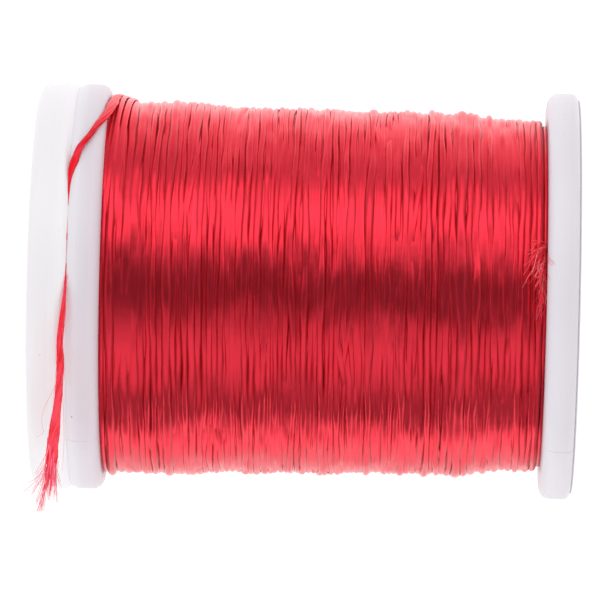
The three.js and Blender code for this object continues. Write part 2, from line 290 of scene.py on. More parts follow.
# %% The loose end as a lobed, flat tube
LOBES = 7
LOBE_DEPTH = 0.14
LOOSE_TWIST = 0.6
UNEVENNESS = 0.12
SMOOTHED_OVER = 9
TAPER_LENGTH = 0.9

away = away_from_axis(loose_path)
away[loose_path[:, 2] < AXIS_HEIGHT] = (0.0, -1.0, 0.0)
ragged = np.random.default_rng(3).normal(0, 1, len(loose_path) + SMOOTHED_OVER - 1)
uneven = np.convolve(ragged, np.ones(SMOOTHED_OVER) / SMOOTHED_OVER, "valid")
half_width = half_width * (1 + UNEVENNESS * uneven)
taper = np.clip((loose_length - lengths_along(loose_path)) / TAPER_LENGTH, 0.15, 1.0)
rings = sweep(
    loose_path,
    away,
    half_width * taper,
    half_thickness * taper,
    sides=40,
    turned=section_turn,
    lobes=LOBES,
    depth=LOBE_DEPTH,
    twist=LOOSE_TWIST,
)
loose_end = grid_mesh("loose_thread", [(rings, lengths_along(loose_path))])
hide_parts("loose_end")

# %% [markdown]
# ## Filaments
# The thread is a bundle of very fine filaments. Where it was cut they have come apart, and a tuft
# of them stands beside the right flange where the thread starts. One filament is a tube so thin that
# six sides are plenty, and a lock of several gets twelve. Each is given by a few points and bends
# smoothly through them. Random differences between filaments make a bundle look real, and a fixed
# seed makes them the same in every run.

# %% A bundle of filaments
FILAMENT_STEPS = 14
LOCK_RADIUS = 0.02
TIP_SHARE = 0.55
STEADY_UP = (0.13, -0.98, 0.11)
ABOVE_THE_TABLE = 0.05
FIRST_BEND_SPREAD = 0.02
SECOND_BEND_SPREAD = 0.03


def filament(points, radius):
    """One fine tube through a few points, thinner towards its tip."""
    points = np.asarray(points, dtype=float)
    path = smooth_path(points, lengths_along(points)[-1] / FILAMENT_STEPS)
    thickness = radius * np.linspace(1.0, TIP_SHARE, len(path))
    outward = np.tile(STEADY_UP, (len(path), 1))
    sides = 12 if radius > LOCK_RADIUS else 6
    return sweep(path, outward, thickness, thickness, sides), lengths_along(path)


def bent_twice(start, end, bends, chance):
    """Four points from start to end. Each bend is given as its share of the way, in X, Y and Z."""
    first = start + (end - start) * bends[0] + chance.normal(0, FIRST_BEND_SPREAD, 3)
    second = start + (end - start) * bends[1] + chance.normal(0, SECOND_BEND_SPREAD, 3)
    second[2] = max(second[2], ABOVE_THE_TABLE)
    return [start, first, second, end]


def filaments_mesh(name, bundles, seed):
    """One mesh of many filaments, each with a shade of its own for its finish."""
    made = [filament(points, radius) for points, radius in bundles]
    shade = np.random.default_rng(seed).uniform(0, 1, len(made))
    return grid_mesh(name, made, shade=shade)


# %% [markdown]
# ## The frayed tip
# Near the tip the thread widens and its filaments come apart, most of them straight down and some
# to the left. A few leading filaments set the outline of the fan, and the others follow one of them.
# They leave the thread at different heights, so the thread seems to dissolve instead of ending.

# %% The frayed tip
# Each row: where a leading filament's tip is along the axis, in front of it and above the ground,
# and how many filaments follow it.
FRAY_TIPS = [
    (-13.54, 11.62, 0.10, 9),
    (-13.71, 11.70, 0.08, 8),
    (-13.86, 11.75, 0.45, 4),
    (-14.47, 11.60, 0.85, 2),
    (-13.98, 11.80, 1.02, 4),
    (-14.27, 11.70, 1.20, 2),
    (-13.83, 11.85, 2.02, 3),
    (-13.10, 11.60, 0.92, 8),
    (-13.28, 11.55, 1.10, 7),
    (-12.90, 11.70, 1.15, 7),
    (-12.84, 11.60, 0.76, 4),
    (-12.72, 11.65, 0.60, 3),
    (-12.52, 11.70, 1.66, 4),
    (-13.00, 11.50, 1.45, 6),
]
FRAY_SPREAD = (0.06, 0.08, 0.20)
FRAY_LEAVES_AT = (2.3, 4.3)
FRAY_BENDS = ((0.12, 0.1, 0.36), (0.55, 0.7, 0.72))
FRAY_RADIUS = (0.009, 0.016)
WITHIN_THE_THREAD = 0.22


def thread_at_height(height):
    """The number of the loose thread's point that hangs at a height."""
    return int(np.argmin(abs(loose_path[:, 2] - height)))


fray = np.random.default_rng(11)
fray_bundles = []
leaders = [tip[:3] for tip in FRAY_TIPS for _ in range(tip[3])]
for leader in leaders:
    tip = np.array(leader) + fray.normal(0, FRAY_SPREAD)
    tip[2] = max(tip[2], ABOVE_THE_TABLE)
    root = thread_at_height(fray.uniform(*FRAY_LEAVES_AT))
    aside = (tip[0] - loose_path[root, 0]) * 0.6
    aside = np.clip(aside, -WITHIN_THE_THREAD, WITHIN_THE_THREAD) + fray.normal(0, 0.05)
    start = loose_path[root] + [aside, fray.uniform(-0.03, 0.06), 0.0]
    end = np.array([tip[0], -tip[1], tip[2]])
    points = bent_twice(start, end, FRAY_BENDS, fray)
    fray_bundles.append((points, fray.uniform(*FRAY_RADIUS)))
frayed_tip = filaments_mesh("frayed_tip", fray_bundles, seed=12)
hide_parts("frayed_end")

# %% [markdown]
# Above the fan the thread first splits into a few locks. Each lock is a thin tapering strand, so
# the wide flat end of the thread breaks up into fingers before the single filaments show.

# %% The locks at the tip
LOCKS = 9
LOCK_LEAVES_AT = (2.6, 3.8)
LOCK_BENDS = ((0.35, 0.4, 0.35), (0.75, 0.7, 0.70))
LOCK_RADII = (0.026, 0.046)
LOCK_FRONT = -11.62
FAN_MIDDLE = -13.14
FAN_HALF_WIDTH = 0.26
FAN_HEIGHT = 1.05
FAN_RISES_BY = 0.55

split = np.random.default_rng(14)
lock_bundles = []
for index in range(LOCKS):
    across = -1.0 + 2.0 * index / (LOCKS - 1)
    root = thread_at_height(split.uniform(*LOCK_LEAVES_AT))
    tip_height = FAN_HEIGHT + FAN_RISES_BY * abs(across) + split.uniform(-0.25, 0.35)
    start = loose_path[root] + [0.66 * across * half_width[root], -0.09, 0.0]
    tip_along = FAN_MIDDLE + FAN_HALF_WIDTH * across + split.normal(0, 0.03)
    end = np.array([tip_along, LOCK_FRONT, tip_height])
    points = bent_twice(start, end, LOCK_BENDS, split)
    lock_bundles.append((points, split.uniform(*LOCK_RADII)))
split_locks = filaments_mesh("split_locks", lock_bundles, seed=15)

# %% [markdown]
# A few single filaments have worked loose higher up. They run beside the hanging thread, and one
# long hair curves away from it to the left.

# %% Single loose filaments beside the thread
STRAY_HAIR = [
    (-12.85, -11.50, 6.85),
    (-13.02, -11.70, 6.45),
    (-13.30, -11.75, 5.90),
    (-13.53, -11.75, 5.27),
    (-13.57, -11.70, 4.72),
    (-13.48, -11.65, 4.30),
    (-13.61, -11.60, 4.12),
    (-13.83, -11.55, 3.97),
]
SHORT_HAIR = [(-13.10, -11.5, 3.9), (-13.38, -11.7, 3.0), (-13.62, -11.7, 2.3), (-13.84, -11.5, 1.95)]
RIGHT_HAIR = [(-12.52, -11.4, 6.4), (-12.44, -11.5, 5.1), (-12.40, -11.5, 3.9), (-12.46, -11.5, 2.2)]
CLOSE_HAIRS = 14
# A close hair starts at a share of the thread's length and runs past some points of its path. Each
# of its own points lies so many half widths of the thread from the thread's middle.
CLOSE_HAIR_FROM = (0.64, 0.86)
CLOSE_HAIR_RUNS = (16, 40)
CLOSE_HAIR_OUT = np.array([0.6, 1.0, 1.15, 1.05, 0.7])
CLOSE_HAIR_RADIUS = (0.008, 0.013)

stray = np.random.default_rng(21)
stray_bundles = [(STRAY_HAIR, 0.011), (SHORT_HAIR, 0.010), (RIGHT_HAIR, 0.009)]
for _ in range(CLOSE_HAIRS):
    first = int(stray.uniform(*CLOSE_HAIR_FROM) * len(loose_path))
    last = min(first + int(stray.uniform(*CLOSE_HAIR_RUNS)), len(loose_path) - 1)
    picked = np.linspace(first, last, 5).astype(int)
    reach = CLOSE_HAIR_OUT * stray.uniform(0.75, 1.1) * stray.choice([-1, 1])
    aside = np.zeros((5, 3))
    aside[:, 0] = reach * (half_width[picked] + 0.01) + stray.normal(0, 0.015, 5)
    aside[:, 1] = -0.06 - 0.05 * abs(stray.normal(0, 1, 5))
    stray_bundles.append((loose_path[picked] + aside, stray.uniform(*CLOSE_HAIR_RADIUS)))
stray_filaments = filaments_mesh("stray_filaments", stray_bundles, seed=22)

# %% [markdown]
# The loose end is the one part of the roll that is free to move, and the filaments at its tip go
# with it.

# %% [markdown]
# ## The plastic spool
# The spool is two mouldings: the body with the right flange, the barrel and the inner left rim, and
# a cap that is pressed in at the left. Both are turned shapes, so each is an outline revolved about
# the axis. What makes moulded plastic look real is the way its edges are rounded, so the outline
# gives each corner its own radius, and the corner becomes a short arc. Plastic rests on the table
# with a tiny flat, because the solid rims have one, so points below the table are lifted to it.
# Smooth shading would bend a flat face beside an arc too, so a support point at each end of the arc
# keeps the bend in the arc.

# %% An outline with rounded corners, revolved
RIM_STEPS = 240
ARC_STEPS = 7
SUPPORT = 0.004


def rounded(corners):
    """An outline from rows of place along the axis, distance from it and corner radius."""
    corners = np.array(corners)
    places, radii = corners[:, :2], corners[:, 2]
    outline = []
    for index, (corner, radius) in enumerate(zip(places, radii)):
        back = unit(places[index - 1] - corner)
        ahead = unit(places[(index + 1) % len(places)] - corner)
        if radius == 0:
            outline += [corner + back * SUPPORT, corner, corner + ahead * SUPPORT]
            continue
        half = math.acos(np.clip(np.dot(back, ahead), -1, 1)) / 2
        reach = radius / math.tan(half)
        outline.append(corner + back * (reach + SUPPORT))
        centre = corner + unit(back + ahead) * radius / math.sin(half)
        first = corner + back * reach - centre
        last = corner + ahead * reach - centre
        for share in np.linspace(0, 1, ARC_STEPS):
            outline.append(centre + radius * unit(first * (1 - share) + last * share))
        outline.append(corner + ahead * (reach + SUPPORT))
    return np.array(outline)


def turned_piece(name, corners):
    """A closed outline revolved about the spool's axis, flattened where it meets the table."""
    outline = rounded(corners)
    angle = np.linspace(0, 360, RIM_STEPS, endpoint=False)
    grid = around_axis(outline[:, 0][:, None], outline[:, 1][:, None], angle[None, :])
    grid[..., 2] = np.maximum(grid[..., 2], 0.0)
    grid = grid.transpose(1, 0, 2)
    return grid_mesh(name, [(grid, np.radians(angle) * RIM_RADIUS)], closed_along=True)


# %% [markdown]
# The body's outline starts at the bore of the right flange and goes round the flange, along the
# barrel, round the inner rim and back through the hollow barrel. The flange's outer face stands a
# hair proud inside a step near its edge, which draws the fine line at the spool's right end.

# %% The spool body
BORE_RADIUS = 4.0
MOUTH_RADIUS = 4.4
BARREL_RADIUS = 7.0
BARREL_INSIDE = 5.9
FLANGE_RADIUS = 11.02
FLANGE_CORNER = 0.62
SLIT_RADIUS = 10.84

body = turned_piece(
    "spool_body_moulding",
    [
        (RIGHT_FACE, MOUTH_RADIUS, 0.10),
        (RIGHT_FACE, 10.64, 0.03),
        (14.55, 10.70, 0.02),
        (14.52, 10.60, 0.01),
        (14.49, 10.60, 0.01),
        (14.47, FLANGE_RADIUS, 0.38),
        (FLANGE_FACE, FLANGE_RADIUS, FLANGE_CORNER),
        (FLANGE_FACE, BARREL_RADIUS, 0.15),
        (INNER_RIM_FACE, BARREL_RADIUS, 0.15),
        (INNER_RIM_FACE, RIM_RADIUS, 0.62),
        (-12.12, RIM_RADIUS, 0.50),
        (SLIT_MIDDLE, SLIT_RADIUS, 0.00),
        (SLIT_MIDDLE, 6.00, 0.10),
        (-12.20, BARREL_INSIDE, 0.00),
        (FLANGE_FACE, BARREL_INSIDE, 0.20),
        (FLANGE_FACE, BORE_RADIUS, 0.10),
        (14.20, BORE_RADIUS, 0.10),
    ],
)
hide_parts("spool_body")

# %% [markdown]
# The cap's rim is a touch smaller than the inner rim, with a low bead along the slit. The slit shows
# as a shallow V: both rims slope down to it, and their walls touch below. So its two sharp corners
# are the same point. Inside, the cap's sleeve plugs the barrel.

# %% The snap cap
CAP_RADIUS = 10.96
SLEEVE_RADIUS = 5.8
SLEEVE_INSIDE = 4.6
SLEEVE_END = -8.19

cap = turned_piece(
    "snap_cap_moulding",
    [
        (LEFT_FACE, MOUTH_RADIUS, 0.10),
        (LEFT_FACE, CAP_RADIUS, 0.50),
        (-13.45, CAP_RADIUS, 0.50),
        (-13.05, 11.08, 0.40),
        (-12.78, 11.05, 0.30),
        (SLIT_MIDDLE, SLIT_RADIUS, 0.00),
        (SLIT_MIDDLE, SLEEVE_RADIUS, 0.10),
        (SLEEVE_END, SLEEVE_RADIUS, 0.25),
        (SLEEVE_END, SLEEVE_INSIDE, 0.25),
        (-12.69, SLEEVE_INSIDE, 0.20),
        (-12.69, BORE_RADIUS, 0.10),
        (-14.20, BORE_RADIUS, 0.10),
    ],
)
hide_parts("snap_cap")

# %% [markdown]
# ## The winding
# About seventy turns lie side by side in the top layer. The thread has so little twist that a turn
# is a flat ribbon, wider here and narrower there. It leans towards one neighbour and then towards
# the other, overlaps both of them, and rises over the lumps of the layers below. A round tube would
# show a deep dark groove beside each turn, which the real roll hasn't. So a turn is an open strip
# with a low crown and steep edges, and the overlaps of the strips draw the grooves by themselves.
#
# The roll is so glossy that its slopes matter more than its heights. A slope of three degrees moves
# the edge of a highlight by ten pixels. So the waves round each turn are given by their slope, and
# the height of each wave follows from its length.

# %% The top layer's measures
TURNS = 72
TURN_SEGMENTS = 400
WOUND_LEFT = -10.82
WOUND_RIGHT = 12.89
WOUND_RADIUS = 10.0
LAYER_OUTLINE = np.array([
    (-10.8, 10.08),
    (-10.3, 10.12),
    (-9.0, 10.10),
    (-7.2, 10.15),
    (-6.5, 10.17),
    (-5.0, 9.96),
    (-3.1, 9.92),
    (-1.0, 9.89),
    (0.0, 9.93),
    (2.4, 9.90),
    (4.0, 9.86),
    (5.1, 9.91),
    (7.3, 9.84),
    (8.4, 9.86),
    (9.2, 9.74),
    (10.2, 9.60),
    (11.2, 9.52),
    (12.4, 9.42),
    (12.83, 9.12),
])
winder = np.random.default_rng(5)
turn_angle = np.linspace(0, 360, TURN_SEGMENTS, endpoint=False)


def waves(rows, orders, slope):
    """Random waves round the spool, a row for each turn. Each order gives the same mean slope."""
    total = np.zeros((rows, TURN_SEGMENTS))
    for order in orders:
        height = WOUND_RADIUS * math.tan(math.radians(slope)) / order
        phase = order * np.radians(turn_angle)[None, :]
        total += height * winder.normal(0, 1, (rows, 1)) * np.cos(phase)
        total += height * winder.normal(0, 1, (rows, 1)) * np.sin(phase)
    return total


def layer_radius(along):
    """How far the top layer stands from the axis at a place along it."""
    return np.interp(along, LAYER_OUTLINE[:, 0], LAYER_OUTLINE[:, 1])


def ease_at_rims(along):
    """1 in the middle of the winding, 0 where a turn lies against a rim."""
    return np.clip(np.minimum(along - WOUND_LEFT, WOUND_RIGHT - along) / 0.6 - 0.3, 0, 1)


# %% [markdown]
# No two turns are the same distance apart, and the first few beside the inner rim lie wider. Each
# turn sways a little as it goes round, together with its neighbours in the slow waves and alone in
# the quick ones, and swells and narrows along its length.

# %% Where each turn lies, and how wide it is
PITCH_SPREAD = 0.13
WIDE_TURNS = 5
WIDER = 1.3
OVERLAP = 0.72
SWELL = 2.6
MOST_SWELL = 0.27

pitch = np.exp(winder.normal(0, PITCH_SPREAD, (TURNS, 1)))
pitch[:WIDE_TURNS] *= WIDER
pitch *= (WOUND_RIGHT - WOUND_LEFT) / pitch.sum()
turn_along = WOUND_LEFT + np.cumsum(pitch, axis=0) - pitch / 2
sway = waves(TURNS, [3, 5, 8, 12, 17, 24, 33], slope=0.55) + waves(1, [1, 2, 3], slope=0.3)
turn_along = turn_along + sway * ease_at_rims(turn_along)
swell = waves(TURNS, [7, 11, 16, 22, 29], slope=1.0) * SWELL
turn_half = OVERLAP * pitch * np.exp(np.clip(swell, -MOST_SWELL, MOST_SWELL))
turn_half = np.minimum(turn_half, np.minimum(turn_along - WOUND_LEFT, WOUND_RIGHT - turn_along) + 0.02)
print("turn widths, mm:", (2 * turn_half).min().round(2), "to", (2 * turn_half).max().round(2))

# %% [markdown]
# A turn rides on the lumps of the layers below, which lift a few neighbours at once, so these waves
# are summed over five turns. Other waves belong to a single turn. The first turns are lifted under
# the loose end's arch, and a few have sunk between their neighbours. The lean tips each flat turn to
# one side and back, which makes its highlight start and stop.

# %% How high each turn rides, and how it leans
SHARED_BY = 5
SHARED_DAMPING = 2.4
RIDE_SPREAD = 0.045
SUNK_TURNS = 5
SUNK_BY = 0.10
LEAN = 4.0
ARCH_ANGLE = 84.0
ARCH_SPREAD = 24.0
ARCH_LIFT = np.array([0.14, 0.14, 0.13, 0.10, 0.06, 0.03])

lumps = waves(TURNS + SHARED_BY - 1, [4, 7, 10, 14, 19, 25], slope=0.55)
lumps_below = sum(lumps[row:row + TURNS] for row in range(SHARED_BY)) / SHARED_DAMPING
turn_top = layer_radius(turn_along) + winder.normal(0, RIDE_SPREAD, (TURNS, 1)) + lumps_below
turn_top += waves(TURNS, [2, 3, 4], slope=0.08)
turn_top += waves(TURNS, [6, 8, 11, 14, 18, 23, 29], slope=0.62)
under_the_arch = np.exp(-((turn_angle - ARCH_ANGLE) / ARCH_SPREAD) ** 2)
turn_top[:len(ARCH_LIFT)] += ARCH_LIFT[:, None] * under_the_arch
sunk = winder.choice(np.arange(6, TURNS - 6), SUNK_TURNS, replace=False)
turn_top[sunk] -= SUNK_BY
turn_lean = waves(TURNS, [3, 5, 8, 12, 17, 23], slope=0.12) * LEAN
print("turns ride at, mm:", turn_top.min().round(2), "to", turn_top.max().round(2))

# %% [markdown]
# The section of a turn has nine points. Its crown is a shallow curve, and its last points drop down
# steeply beside the neighbours. The turns are dealt out to three meshes, to keep each one light.

# %% The turns as meshes
SECTION = np.array([-1.0, -0.88, -0.66, -0.34, 0.0, 0.34, 0.66, 0.88, 1.0])
CROWN = 0.15
EDGE_DROP = 0.08
MOST_LEAN = 0.5


def turn_strip(along, top, half, lean):
    """The grid of one turn: a crowned section, one for each angle round the spool."""
    aside = half[:, None] * SECTION[None, :]
    drop = CROWN * SECTION ** 2 + EDGE_DROP * SECTION ** 6
    tipped = np.tan(np.clip(lean, -MOST_LEAN, MOST_LEAN))
    out = top[:, None] - drop[None, :] + tipped[:, None] * aside
    return around_axis(along[:, None] + aside, out, turn_angle[:, None])


strips = [turn_strip(*row) for row in zip(turn_along, turn_top, turn_half, turn_lean)]
ring_lengths = np.radians(turn_angle) * WOUND_RADIUS
turn_shade = winder.uniform(0, 1, TURNS)
third = TURNS // 3
wound_pieces = []
for index, name in enumerate(("wound_turns_left", "wound_turns_middle", "wound_turns_right")):
    chosen = slice(index * third, (index + 1) * third)
    grids = [(strip, ring_lengths) for strip in strips[chosen]]
    wound = grid_mesh(name, grids, closed_along=True, closed_round=False, shade=turn_shade[chosen])
    wound_pieces.append(wound)
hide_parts("winding")

# %% [markdown]
# Under the top layer lie more turns. Only slits of them show, dark and deep in the grooves, so one
# turned drum stands for them. It is ribbed like the turns above it.

# %% The layers below
BELOW_THE_TOP = 0.10
RIB_HEIGHT = 0.03
BELOW_LEFT = INNER_RIM_FACE + 0.01
BELOW_RIGHT = FLANGE_FACE - 0.01
BELOW_INSIDE = BARREL_RADIUS + 0.02
BELOW_MEAN_RADIUS = 9.7

below_along = np.linspace(BELOW_LEFT, BELOW_RIGHT, 4 * TURNS + 1)
ribs = RIB_HEIGHT * np.cos(np.arange(len(below_along)) * np.pi / 2)
below_radius = layer_radius(below_along) - BELOW_THE_TOP + ribs
below_angle = np.linspace(0, 360, 120, endpoint=False)
below_outline = np.vstack([
    np.stack([below_along, below_radius], axis=1),
    [[BELOW_RIGHT, BELOW_INSIDE], [BELOW_LEFT, BELOW_INSIDE]],
])
below_grid = around_axis(
    below_outline[:, 0][:, None], below_outline[:, 1][:, None], below_angle[None, :]
).transpose(1, 0, 2)
below_lengths = np.radians(below_angle) * BELOW_MEAN_RADIUS
under_layers = grid_mesh("under_layers", [(below_grid, below_lengths)], closed_along=True)

# %% [markdown]
# In a few places a turn jumps over its neighbour and dives under the next one. Each crossing is a
# short strand that rises out of the layer, leans across and sinks again.

# %% Turns that cross over their neighbours
CROSSINGS = 34
CROSSING_LEAN = (0.25, 0.6)
CROSSING_REACH = (22, 48)
CROSSING_DEPTH = 0.30
CROSSING_RISE = 0.22
CROSSING_HALF_THICKNESS = 0.10

crossing_grids = []
crossing_shade = winder.uniform(0, 1, CROSSINGS)
share = np.linspace(0, 1, 40)
eased = share * share * (3 - 2 * share)
rise = np.sin(np.pi * share) ** 0.6
for _ in range(CROSSINGS):
    start = winder.uniform(WOUND_LEFT + 0.5, WOUND_RIGHT - 0.9)
    lean = winder.choice([-1, 1]) * winder.uniform(*CROSSING_LEAN)
    from_angle = winder.uniform(0, 360)
    reach = winder.uniform(*CROSSING_REACH)
    along = start + lean * eased
    radius = layer_radius(along) - CROSSING_DEPTH + CROSSING_RISE * rise
    path = around_axis(along, radius, from_angle + reach * share)
    half = (0.15 + 0.02 * winder.normal()) * (0.4 + 0.6 * rise)
    ring = sweep(path, away_from_axis(path), half, CROSSING_HALF_THICKNESS, sides=12)
    crossing_grids.append((ring, lengths_along(path)))
crossing_turns = grid_mesh("crossing_turns", crossing_grids, shade=crossing_shade)

# %% [markdown]
# The loose end leaves the roll over its first turns and lifts three of them with it. These lie close
# under its arch and sink back into the layer lower down.

# %% Three turns under the arch
# Each row: place along the axis, distance from it, angle.
LIFTED_TURNS = [
    [(-9.70, 9.85, 128), (-9.86, 10.20, 104), (-10.08, 10.36, 88), (-10.22, 10.36, 72),
     (-10.36, 10.24, 54), (-10.46, 10.12, 36), (-10.52, 9.90, 14)],
    [(-9.40, 9.85, 122), (-9.52, 10.13, 104), (-9.70, 10.23, 88), (-9.84, 10.21, 70),
     (-9.98, 10.13, 50), (-10.06, 10.05, 32), (-10.10, 9.85, 12)],
    [(-10.30, 10.00, 98), (-10.46, 10.26, 82), (-10.56, 10.28, 70), (-10.64, 10.20, 54),
     (-10.68, 10.10, 36), (-10.70, 9.85, 14)],
]
LIFTED_HALF_WIDTH = 0.20
LIFTED_HALF_THICKNESS = 0.085
LIFTED_TAPER = 1.5

lifted_grids = []
for points in LIFTED_TURNS:
    rows = np.array(points)
    path = smooth_path(around_axis(rows[:, 0], rows[:, 1], rows[:, 2]), STEP)
    lengths = lengths_along(path)
    ends = np.clip(np.minimum(lengths, lengths[::-1]) / LIFTED_TAPER, 0.2, 1.0)
    half = LIFTED_HALF_WIDTH * ends
    ring = sweep(path, away_from_axis(path), half, LIFTED_HALF_THICKNESS, sides=16)
    lifted_grids.append((ring, lengths))
lifted_turns = grid_mesh("lifted_turns", lifted_grids, shade=[0.4, 0.7, 0.5])

# %% [markdown]
# ## The start tuft
# At the right flange the beginning of the thread sticks out of the winding as a small fuzzy tuft.
# Its filaments start along the flange, curl down over the last turns and cross each other. A second,
# thinner lock stands below the first. A hair is a bow between its root and its tip, lifted off the
# turns by a curl, and about a third of them are a few filaments that stick together.

# %% The hairs of the start tuft
# Each row: angle at the root, angle at the tip, place of the tip along the axis, how many.
TUFT_STRANDS = [
    (22.0, 19.0, 11.95, 10),
    (21.5, 14.8, 11.75, 16),
    (19.5, 11.5, 12.05, 20),
    (18.0, 8.8, 12.30, 20),
    (17.0, 6.8, 12.45, 14),
    (15.5, 5.6, 12.55, 12),
    (17.0, 6.4, 11.35, 2),
    (7.5, 0.6, 12.30, 7),
    (8.0, -0.4, 12.50, 8),
    (6.5, -1.2, 12.55, 5),
]
TUFT_ROOT = 12.70
THICK_SHARE = 0.35
THICK_HAIR = (0.022, 0.034)
FINE_HAIR = (0.009, 0.015)
HAIR_SHARES = np.array([0.0, 0.3, 0.55, 0.8, 1.0])
HAIR_REACH = (0.6, 1.0)
HAIR_BOW = (0.45, 1.1)
HAIR_CURL = (0.03, 0.30)
HAIR_LIES_AT = 0.07
tuft = np.random.default_rng(31)


def curled_hair(root, tip, tip_along):
    """The points of one hair, near the angles and the place that are given."""
    from_angle = root + tuft.normal(0, 0.9)
    to_angle = tip + tuft.normal(0, 1.9)
    reach = tuft.uniform(*HAIR_REACH)
    root_along = TUFT_ROOT + tuft.normal(0, 0.04)
    end_along = root_along + (tip_along + tuft.normal(0, 0.24) - root_along) * reach
    end_angle = from_angle + (to_angle - from_angle) * reach
    bow = tuft.uniform(*HAIR_BOW)
    along = root_along + (end_along - root_along) * HAIR_SHARES ** bow
    angle = from_angle + (end_angle - from_angle) * HAIR_SHARES ** (1.5 / (0.5 + bow))
    curl = tuft.uniform(*HAIR_CURL)
    arch = np.sin(np.pi * (0.15 + 0.85 * HAIR_SHARES) * tuft.uniform(0.5, 0.95))
    lift = HAIR_LIES_AT + curl * arch
    along[1:] += tuft.normal(0, 0.055, 4)
    return around_axis(along, layer_radius(along) + lift, angle)


tuft_bundles = []
for root, tip, tip_along, count in TUFT_STRANDS:
    for _ in range(count):
        points = curled_hair(root, tip, tip_along)
        sizes = THICK_HAIR if tuft.uniform() < THICK_SHARE else FINE_HAIR
        tuft_bundles.append((points, tuft.uniform(*sizes)))
print("hairs of the tuft:", len(tuft_bundles))

# %% [markdown]
# Four more filaments climb the flange and bend over its rounded edge. They follow the arc of the
# edge, a hair's breadth outside it, so they lie on the plastic and don't sink into it.

# %% The start tuft, with its hairs on the flange
# Each row: the angle round the spool at the root and at the tip, and how far round the edge the tip
# gets, in degrees.
OVER_THE_EDGE = [
    (18.4, 14.7, 68),
    (18.9, 15.5, 60),
    (17.7, 14.4, 52),
    (13.4, 10.8, 38),
]
CLEAR = 0.03

for root, tip, turned in OVER_THE_EDGE:
    bend = np.radians(np.linspace(0, turned, 6))
    reach = FLANGE_CORNER + CLEAR
    along = FLANGE_FACE + FLANGE_CORNER - reach * np.cos(bend)
    radius = FLANGE_RADIUS - FLANGE_CORNER + reach * np.sin(bend)
    along = np.concatenate([[12.78, FLANGE_FACE - CLEAR], along])
    radius = np.concatenate([[9.85, 10.25], radius])
    angle = np.linspace(root, tip, len(along))
    tuft_bundles.append((around_axis(along, radius, angle), 0.011))
start_filaments = filaments_mesh("start_filaments", tuft_bundles, seed=32)
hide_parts("start_tuft")

# %% [markdown]
# ## A small language for materials
# A material in Blender is a graph of nodes. Wiring it node by node hides the idea behind the
# finish, so we wrap a socket in a small class. An expression such as `1 - mask * 0.3` then adds the
# Math nodes by itself. Any other node comes from one method, which takes the node's type, its
# settings and what goes into its sockets. Colours go through Mix nodes, because a Math node turns
# a colour grey.

# %% A socket that can stand in a sum


class Value:
    """An output socket that adds Math nodes when it is used in an expression."""

    def __init__(self, finish, socket):
        self.finish = finish
        self.socket = socket

    def math(self, operation, *others):
        inputs = dict(enumerate((self, *others)))
        return self.finish.node("Math", {"operation": operation}, inputs)

    def __add__(self, other):
        return self.math("ADD", other)

    def __mul__(self, other):
        return self.math("MULTIPLY", other)

    def __sub__(self, other):
        return self.math("SUBTRACT", other)

    def __rsub__(self, other):
        return self.finish.node("Math", {"operation": "SUBTRACT"}, {0: other, 1: self})

    def __truediv__(self, other):
        return self.math("DIVIDE", other)

    def __pow__(self, other):
        return self.math("POWER", other)

    def __lt__(self, other):
        return self.math("LESS_THAN", other)

    def __gt__(self, other):
        return self.math("GREATER_THAN", other)

    __radd__ = __add__
    __rmul__ = __mul__

    def size(self):
        return self.math("ABSOLUTE")

    def clamped(self):
        return self.finish.node("Clamp", {}, {"Value": self})


# %% [markdown]
# A finish is one material. It starts with its constants on the shader's own sockets, and then feeds
# the few sockets that vary over the surface. It remembers what feeds each of them, so that a finish
# can be changed a little afterwards.

# %% A finish: one material and its nodes


class Finish:
    """A material with a Principled shader, and a method that adds any other node."""

    def __init__(self, name, constants):
        self.fed = {}
        self.material = bpy.data.materials.new(name)
        self.material.use_nodes = True
        self.tree = self.material.node_tree
        self.shader = self.tree.nodes["Principled BSDF"]
        for socket, value in constants.items():
            self.shader.inputs[socket].default_value = value

    def node(self, kind, settings, inputs, output=0):
        """Add a node, set it up, feed its sockets and return one of its outputs."""
        made = self.tree.nodes.new("ShaderNode" + kind)
        for setting, value in settings.items():
            setattr(made, setting, value)
        for socket, value in inputs.items():
            self.feed(made.inputs[socket], value)
        return Value(self, made.outputs[output])

    def feed(self, socket, value):
        if isinstance(value, Value):
            self.tree.links.new(value.socket, socket)
        else:
            socket.default_value = value

    def mix(self, share, first, second):
        """A colour between two colours; a colour is a Value or three numbers."""
        first, second = (c if isinstance(c, Value) else (*c, 1.0) for c in (first, second))
        inputs = {0: share, 6: first, 7: second}
        return self.node("Mix", {"data_type": "RGBA"}, inputs, output=2)

    def noise(self, place, scale, detail=2.0):
        return self.node("TexNoise", {}, {"Vector": place, "Scale": scale, "Detail": detail})

    def place(self):
        return self.node("TexCoord", {}, {}, output="Object")

    def part(self, vector, axis):
        """The X, Y or Z of a vector."""
        return self.node("SeparateXYZ", {}, {"Vector": vector}, output=axis)

    def shade(self):
        """The number between 0 and 1 that each strand of a mesh carries."""
        return self.node("Attribute", {"attribute_name": "strand"}, {}, output="Fac")

    def bump(self, height, distance, strength=1.0):
        return self.node("Bump", {}, {"Height": height, "Distance": distance, "Strength": strength})

    def set(self, **sockets):
        """Feed the shader's sockets: Base_Color=... feeds the socket Base Color."""
        for name, value in sockets.items():
            self.fed[name] = value
            self.feed(self.shader.inputs[name.replace("_", " ")], value)
